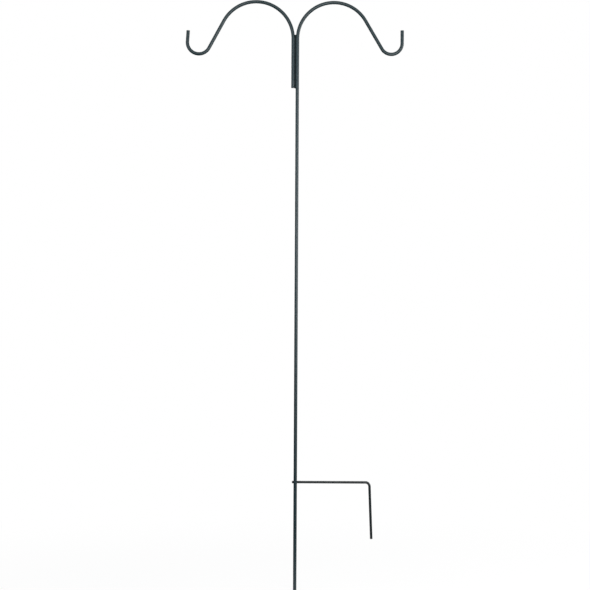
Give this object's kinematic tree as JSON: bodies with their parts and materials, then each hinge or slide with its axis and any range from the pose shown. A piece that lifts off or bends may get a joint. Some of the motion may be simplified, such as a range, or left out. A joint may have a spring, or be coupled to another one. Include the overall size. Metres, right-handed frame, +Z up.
{
  "type": "hanging plant stand",
  "caption": "Garden crook stand of bent round steel bar: a tall pole with opposed arched arms that end in open hooks, a long ground stake and a welded foot step with a prong.",
  "frame": {"origin": "on the pole's axis at the soil line, level with the underside of the foot step", "axes": "+Z up the pole, +X towards the foot step's prong, -Y the front; the pole and both arms lie in the plane Y = 0"},
  "size_m": [0.601, 0.0166, 1.6255],
  "materials": {
    "bar_coat": "satin dark green-black powder coat on steel bar",
    "step_coat": "satin dark green-black powder coat on steel rod",
    "weld_coat": "satin dark green-black powder coat over a weld bead"
  },
  "bodies": {
    "root": {"main_rod": "bar_coat", "left_arm": "bar_coat", "step_rod": "step_coat", "arm_weld_front": "weld_coat", "arm_weld_back": "weld_coat", "step_weld_upper": "weld_coat", "step_weld_lower": "weld_coat"}
  },
  "joints": []
}
